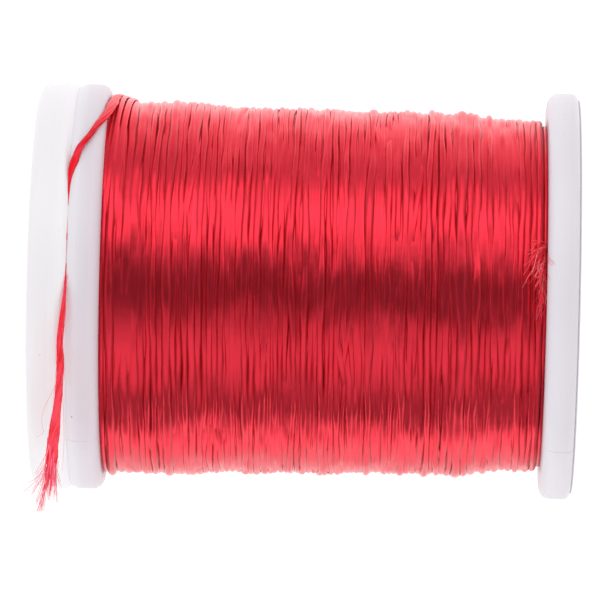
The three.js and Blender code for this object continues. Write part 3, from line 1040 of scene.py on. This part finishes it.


# %% [markdown]
# ## The thread's finish
# The thread is untwisted or barely twisted floss: filaments that lie side by side and catch the light
# together. Each filament is clear red nylon, so the light that comes back is red even in the
# highlight. A dielectric would give a white highlight, so the shader is mostly metallic, which tints
# its gloss with the base colour and turns pale only at grazing angles, as the photograph shows at
# the edges of the roll. The filaments themselves are fine slanting ridges, drawn along U and V. V
# also tells how far a point is from a turn's crown, and towards the groove a painted shade deepens
# the colour and dulls the metal.

# %% The thread's finish
THREAD_RED = (0.94, 0.042, 0.074)
THREAD_DEEP = (0.76, 0.026, 0.046)
# The dark red of the painted shade in the grooves between turns.
PAINTED_GROOVE_SHADE = (0.30, 0.008, 0.016)
THREAD_SHINE = {"Metallic": 0.93, "IOR": 1.52, "Sheen Weight": 0.03, "Sheen Roughness": 0.4}
THREAD_SHEEN_TINT = (1.0, 0.45, 0.5, 1.0)
MIDDLE_OF_A_TURN = len(SECTION) // 2 / len(SECTION)
CROWN_SHARE = 0.12
GROOVE_STEEPNESS = 4.5
PATCHES = 260.0


def thread_finish(name, constants, deep, red, roughness, relief, contrast=1.0, painted_groove_shade_share=0.0):
    """Streaks of filaments from the U and V of a thread's mesh, with painted shade in its grooves if
    asked.
    """
    finish = Finish(name, constants)
    lay = finish.node("UVMap", {"uv_map": "lay"}, {})
    u = finish.part(lay, "X")
    v = finish.part(lay, "Y")
    strand = finish.shade()

    def fibres(along, across, slant, apart, detail):
        """Noise drawn out along the thread. slant leans it, apart makes strands differ."""
        drawn = {"X": u * along, "Y": v * across + u * slant, "Z": strand * apart}
        return finish.noise(finish.node("CombineXYZ", {}, drawn), 1.0, detail)

    streaks = fibres(along=0.9, across=9.0, slant=1.3, apart=53.0, detail=2.0)
    lumps = fibres(along=1.3, across=1.2, slant=0.0, apart=71.0, detail=1.0)
    folds = fibres(along=0.35, across=2.6, slant=0.12, apart=31.0, detail=0.0)
    patchy = finish.noise(finish.place(), PATCHES)
    # Painted shade: from a turn's crown towards its edges the colour darkens and the metal dulls, as if
    # the neighbours shaded the groove.
    off_crown = (v - MIDDLE_OF_A_TURN).size() - CROWN_SHARE
    painted_groove_shade = (off_crown * GROOVE_STEEPNESS).clamped() * painted_groove_shade_share
    even = strand * 0.35 + patchy * 0.40 + folds * 0.3 - painted_groove_shade * 0.4
    tone = ((even - 0.5) * contrast + (streaks - 0.5) * 2.0 * (contrast - 1.0) + 0.5).clamped()
    finish.set(
        Base_Color=finish.mix(painted_groove_shade * 0.75, finish.mix(tone, deep, red), PAINTED_GROOVE_SHADE),
        Roughness=roughness + 0.08 * patchy,
        Normal=finish.bump(streaks * 0.8 + lumps + folds * 2.5, relief * MM),
    )
    if painted_groove_shade_share:
        finish.set(Metallic=constants["Metallic"] - painted_groove_shade * 0.45)
    return finish


ON_THE_ROLL = {
    "constants": THREAD_SHINE,
    "deep": THREAD_DEEP,
    "red": THREAD_RED,
    "roughness": 0.25,
    "relief": 0.012,
}
thread = thread_finish("silky_red_thread", painted_groove_shade_share=1.0, **ON_THE_ROLL)
single_thread = thread_finish("single_red_thread", **ON_THE_ROLL)
for finish in (thread, single_thread):
    finish.shader.inputs["Sheen Tint"].default_value = THREAD_SHEEN_TINT
print("finishes of the roll:", thread.material.name, "and", single_thread.material.name)

# %% [markdown]
# The loose end is the same thread with its filaments apart. They no longer lie like the bars of a
# mirror, so the end looks softer and brighter than the roll: more of its colour is plain diffuse
# coral red. Where it is still pulled tight over the rim it keeps some of the roll's shine, so the
# shine fades with the height: the part below the spool's axis hangs free. Over the same height a
# painted shade darkens its colour, for the dark parts of the tent that the tight part reflects.

# %% The loose end's finish
SOFT_SHINE = {"IOR": 1.45, "Specular IOR Level": 0.3}
SOFT_RED = (1.0, 0.062, 0.105)
SOFT_DEEP = (0.84, 0.004, 0.013)
# The darker red of a painted shade on the part above the axis.
TIGHT_PAINTED_SHADE_RED = (0.62, 0.008, 0.022)
TIGHT_AND_SHADED_WITHIN = 4.0

loose_finish = thread_finish(
    "soft_red_thread", SOFT_SHINE, SOFT_DEEP, SOFT_RED, roughness=0.34, relief=0.022, contrast=3.2
)
height = loose_finish.part(loose_finish.place(), "Z")
# This mask sets both the shine and a painted shade: above the axis the colour is painted a darker red.
tight_and_shaded = ((height - AXIS_HEIGHT * MM) / (TIGHT_AND_SHADED_WITHIN * MM)).clamped()
loose_finish.set(
    Metallic=tight_and_shaded * 0.65,
    Base_Color=loose_finish.mix(tight_and_shaded * 0.35, loose_finish.fed["Base_Color"], TIGHT_PAINTED_SHADE_RED),
)
print("the loose end has its full shine from", AXIS_HEIGHT + TIGHT_AND_SHADED_WITHIN, "mm up")

# %% [markdown]
# The loose filaments are the same nylon, but single and fine, so more light passes through them
# and they look pinker and paler than the roll. On the start tuft the few pale hairs are painted
# highlights.

# %% The loose filaments' finish


def hair_finish(name, deep, pale_tone_and_highlight, rarity):
    """Each hair has one colour between deep and a pale tone, which on the tuft is painted highlight. A
    high rarity keeps the pale ones few.
    """
    finish = Finish(name, {"Roughness": 0.45, "IOR": 1.45, "Specular IOR Level": 0.25})
    finish.set(Base_Color=finish.mix(finish.shade() ** rarity, deep, pale_tone_and_highlight))
    print("finish of the hairs:", name)
    return finish


filament_finish = hair_finish(
    "loose_red_filaments", deep=(1.0, 0.05, 0.11), pale_tone_and_highlight=(1.0, 0.24, 0.34), rarity=1.0
)
# The tuft's few pale hairs are painted highlights.
tuft_finish = hair_finish(
    "fuzzy_red_filaments", deep=(1.0, 0.022, 0.045), pale_tone_and_highlight=(1.0, 0.32, 0.38), rarity=3.5
)

# %% [markdown]
# ## The plastic's finish
# The spool is moulded in milky, slightly translucent polyolefin. Light goes in a little way and comes
# out again, which softens every edge: that is subsurface scattering with a radius under a
# millimetre. Moulded faces have a very fine uneven gloss. The body moulding also has a parting line
# along its rims, where the two halves of the mould met. A few tiny specks of dust lie on both; each
# is a small ball round a point of the surface, inside which the colour changes. Some tints are
# painted light: plastic beside the roll has a painted pink reflection of its red, the flange half of
# the body is painted paler than its inner rim, and the two slopes of the slit are painted lighter.
# The flange is also greyer towards its outer edge.

# %% The plastic's finish
PLASTIC_SHINE = {"IOR": 1.49, "Subsurface Weight": 0.12, "Subsurface Scale": 0.0003}
SCATTERED_FAR = (1.0, 0.96, 0.98)
# Painted light: the flange half of the body is painted paler than the rest of the same moulding.
PAINTED_PALER_FLANGE = (0.775, 0.745, 0.80)
# A painted reflection: the pink that the red roll throws on the plastic beside it.
PAINTED_RED_REFLECTION = (0.70, 0.57, 0.62)
FLANGE_SHADE = (0.675, 0.63, 0.675)
# Painted light: the slopes of the slit are painted lighter, as if they lit each other.
PAINTED_SLIT_LIGHT = (0.92, 0.90, 0.93)
SHADE_STARTS = 13.0
SHADE_DEEPENS_OVER = 1.6
SHADE_STOPS = 14.5
CLOUDS = 120.0
GRAIN = 2600.0
PARTING_LINE_HALF_WIDTH = 0.05


def near(distance, reach):
    """1 where a distance is 0, falling to 0 at reach, which is in millimetres."""
    return (1 - distance.size() / (reach * MM)).clamped()


def plastic_finish(name, colour, specks, parting_angle=None):
    """Milky plastic with its tints, some of them painted light, its specks and, on the body, its parting
    line.
    """
    finish = Finish(name, PLASTIC_SHINE)
    finish.shader.inputs["Subsurface Radius"].default_value = SCATTERED_FAR
    place = finish.place()
    along = finish.part(place, "X")
    cloudy = finish.noise(place, CLOUDS, detail=3.0)
    grain = finish.noise(place, GRAIN)
    painted_reflection_mask = near(along - INNER_RIM_FACE * MM, reach=1.3)
    painted_slit_light_mask = near(along - SLIT_MIDDLE * MM, reach=0.7)
    towards_the_end = ((along - SHADE_STARTS * MM) / (SHADE_DEEPENS_OVER * MM)).clamped()
    towards_the_end = towards_the_end * (along < SHADE_STOPS * MM)
    shaded = finish.mix(cloudy * 0.35, colour, [0.94 * part for part in colour])
    # Painted light: the flange half is paler.
    shaded = finish.mix(along > 0.0, shaded, PAINTED_PALER_FLANGE)
    # Painted reflection of the red roll on the plastic beside it.
    shaded = finish.mix(painted_reflection_mask * 0.7, shaded, PAINTED_RED_REFLECTION)
    shaded = finish.mix(towards_the_end * 0.8, shaded, FLANGE_SHADE)
    # Painted light in the slit, against the shade of its crease.
    shaded = finish.mix(painted_slit_light_mask * 0.45, shaded, PAINTED_SLIT_LIGHT)
    for speck_along, radius, angle, size, tint in specks:
        centre = tuple(around_axis(speck_along, radius, angle) * MM)
        apart = finish.node("VectorMath", {"operation": "DISTANCE"}, {0: place, 1: centre}, "Value")
        shaded = finish.mix((2.0 - apart / (size * MM / 2)).clamped(), shaded, tint)
    relief = grain * 0.25 + cloudy
    if parting_angle is not None:
        turn = math.radians(parting_angle)
        across = (0.0, math.sin(turn), math.cos(turn))
        axis = (0.0, 0.0, AXIS_HEIGHT * MM)
        from_axis = finish.node("VectorMath", {"operation": "SUBTRACT"}, {0: place, 1: axis})
        off = finish.node("VectorMath", {"operation": "DOT_PRODUCT"}, {0: from_axis, 1: across}, "Value")
        line = near(off, reach=PARTING_LINE_HALF_WIDTH)
        relief = relief + line * 2.0
        shaded = finish.mix(line * 0.15, shaded, [0.80 * part for part in colour])
    finish.set(
        Base_Color=shaded,
        Roughness=0.36 + 0.12 * cloudy,
        Normal=finish.bump(relief, 0.02 * MM, 0.5),
    )
    return finish


# %% [markdown]
# The two mouldings differ a little: the body is greyer and more violet than the cap. Their specks
# of dust are grey, and the two beside the slit are red, because they are bits of thread.

# %% The finishes of the body and the cap
BODY_WHITE = (0.735, 0.70, 0.755)
CAP_WHITE = (0.865, 0.84, 0.865)
# Each row: place along the axis, distance from it, angle, size and colour of a speck.
BODY_SPECKS = [
    (-12.15, 11.0, -33.2, 0.055, (0.08, 0.07, 0.08)),
    (-12.50, 10.93, -34.0, 0.05, (0.55, 0.20, 0.26)),
    (-12.44, 10.95, -42.2, 0.05, (0.60, 0.16, 0.24)),
    (13.70, 11.0, 68.0, 0.05, (0.55, 0.48, 0.52)),
    (13.62, 11.0, 57.5, 0.05, (0.60, 0.52, 0.56)),
    (13.20, 11.0, -118.0, 0.06, (0.45, 0.40, 0.42)),
    (-11.60, 11.0, 205.0, 0.06, (0.40, 0.36, 0.40)),
]
CAP_SPECKS = [
    (-13.80, 10.96, -13.5, 0.05, (0.70, 0.62, 0.66)),
    (-13.30, 10.97, -20.5, 0.04, (0.72, 0.62, 0.66)),
    (-13.60, 10.96, 128.0, 0.06, (0.55, 0.48, 0.50)),
]
body_finish = plastic_finish("milky_body_plastic", BODY_WHITE, BODY_SPECKS, parting_angle=-42.6)
cap_finish = plastic_finish("milky_cap_plastic", CAP_WHITE, CAP_SPECKS)
print("specks on the body and the cap:", len(BODY_SPECKS), len(CAP_SPECKS))

# %% [markdown]
# Each piece now gets its finish. The spool is one rigid thing, so every piece rides on the same
# body: where the spool goes, all of it goes.

# %% Give every piece its finish and let it ride on the spool
for piece, finish in (
    (loose_end, loose_finish),
    (wound_pieces[0], thread),
    (wound_pieces[1], thread),
    (wound_pieces[2], thread),
    (under_layers, single_thread),
    (crossing_turns, single_thread),
    (lifted_turns, single_thread),
    (split_locks, filament_finish),
    (frayed_tip, filament_finish),
    (stray_filaments, filament_finish),
    (start_filaments, tuft_finish),
    (body, body_finish),
    (cap, cap_finish),
):
    piece.data.materials.append(finish.material)
    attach(piece, "root")
print("finishes:", sorted(m.name for m in bpy.data.materials))

# %% [markdown]
# ## Floor and light
# The photograph's background is pure white, without a shadow. So the floor here is a pale sheet that
# glows, and only the camera sees it. The soft light is that of a white tent. Its walls run round the
# spool's axis as a ring of long lamps. They glow softly above the camera, behind the spool and below
# the camera, and are dim between: in front, where the camera stands, straight overhead and under the
# spool's foot. Those three dim gaps are the three dark bands on the roll.

# %% The floor
FLOOR_HALF = 2500.0
floor_grid = np.array([
    [(-FLOOR_HALF, -FLOOR_HALF, 0.0), (-FLOOR_HALF, FLOOR_HALF, 0.0)],
    [(FLOOR_HALF, -FLOOR_HALF, 0.0), (FLOOR_HALF, FLOOR_HALF, 0.0)],
])
floor = grid_mesh("floor", [(floor_grid, np.array([0.0, 2 * FLOOR_HALF]))], closed_round=False)
floor_finish = Finish("pale_floor", {"Roughness": 0.9, "Emission Strength": 1.0})
mottled = floor_finish.noise(floor_finish.place(), 30.0, detail=3.0)
floor_finish.set(
    Base_Color=(0.0, 0.0, 0.0, 1.0),
    Emission_Color=floor_finish.mix(mottled, (1.0, 1.0, 1.0), (1.01, 1.01, 1.01)),
)
floor.data.materials.append(floor_finish.material)
floor.visible_diffuse = False
floor.visible_glossy = False
floor.visible_transmission = False
floor.visible_shadow = False

# %% [markdown]
# Each wall is a lamp ten degrees wide and three metres long. Seven glows, each a soft hump of
# brightness round the circle, add up to the brightness of a wall. The walls light nothing but gloss:
# the matte plastic gets its light elsewhere, so the two can be set one at a time.

# %% The walls of the tent, as soft lamps
TENT_RADIUS = 0.6
TENT_LENGTH = 3.0
WALL_WIDTH = 10
# Each glow of the tent: the angle of its middle, its brightness and how far it spreads, in degrees.
GLOWS = {
    "above_the_camera": (56, 1.72, 24),
    "overhead": (105, 0.52, 14),
    "high_behind": (140, 1.24, 30),
    "behind": (188, 1.6, 28),
    "low_behind": (253, 1.65, 15),
    "under_the_back": (226, 0.75, 15),
    "below_the_camera": (321, 1.02, 26),
}


def glow(angle):
    """The brightness of the tent at an angle round the spool: 0 level in front, 90 overhead."""
    total = 0.0
    for middle, brightness, spread in GLOWS.values():
        off = (angle - middle + 180) % 360 - 180
        total += brightness * math.exp(-((off / spread) ** 2))
    return total


def hung_lamp(name, away, distance, length, width, brightness):
    """A rectangular lamp that faces the middle of the spool. brightness is that of its surface."""
    data = bpy.data.lights.new(name, "AREA")
    data.shape = "RECTANGLE"
    data.size = length
    data.size_y = width
    data.energy = math.pi * length * width * brightness
    lamp = bpy.data.objects.new(name, data)
    lamp.rotation_mode = "QUATERNION"
    lamp.rotation_quaternion = away.to_track_quat("Z", "Y")
    lamp.location = away * distance + Vector((0, 0, AXIS_HEIGHT * MM))
    bpy.context.scene.collection.objects.link(lamp)
    return lamp


def tent_wall(name, middle, width, brightness):
    """A long lamp that fills part of the circle round the spool."""
    turn = math.radians(middle)
    away = Vector((0.0, -math.cos(turn), math.sin(turn)))
    across = 2 * TENT_RADIUS * math.tan(math.radians(width) / 2)
    return hung_lamp(name, away, TENT_RADIUS, TENT_LENGTH, across, brightness)


for angle in range(0, 360, WALL_WIDTH):
    wall = tent_wall(f"wall_at_{angle}", angle, WALL_WIDTH, glow(angle))
    wall.visible_diffuse = False
print("brightness round the spool:", [round(glow(angle), 1) for angle in range(0, 360, 30)])

# %% [markdown]
# The sides of the turns look along the spool, towards the two ends of the tent. A dim lamp across
# each end keeps the grooves between the turns a deep red instead of black.

# %% The two ends of the tent
TENT_WIDTH = 2 * TENT_RADIUS
END_BRIGHTNESS = 0.2

for name, away in (("cap_end", Vector((-1, 0, 0))), ("flange_end", Vector((1, 0, 0)))):
    tent_end = hung_lamp(name, away, TENT_LENGTH / 2, TENT_WIDTH, TENT_WIDTH, END_BRIGHTNESS)
    tent_end.visible_diffuse = False
    print(name, "lamp at, m:", [round(v, 2) for v in tent_end.location])

# %% [markdown]
# Those glows only show as reflections in the silky thread. What lights the matte plastic is the white
# of the whole tent, which is the world below. A little more of it comes from above and from under
# the spool, so the plastic's top and foot are a touch paler than its front.

# %% A little more light from above and below
SOFT_LIGHT_WIDTH = 70

for name, middle, brightness in (("top_light", 90, 0.08), ("foot_light", 270, 0.13)):
    soft = tent_wall(name, middle, SOFT_LIGHT_WIDTH, brightness)
    soft.visible_glossy = False
    print(name, "watts:", round(soft.data.energy, 2))

# %% [markdown]
# The world is the white of the tent. Diffuse surfaces and the camera see it and gloss doesn't, or it
# would wash out the dark bands. The picture is shown as it is, without a film look, because the
# background has to stay pure white.

# %% The background that the camera sees
world = bpy.data.worlds.new("studio")
world.use_nodes = True
background = world.node_tree.nodes["Background"]
background.inputs["Color"].default_value = (1.0, 1.0, 1.0, 1.0)
background.inputs["Strength"].default_value = 1.0
world.cycles_visibility.glossy = False
world.cycles_visibility.transmission = False
bpy.context.scene.world = world
bpy.context.scene.view_settings.view_transform = "Standard"
print("lamps:", len(bpy.data.lights))
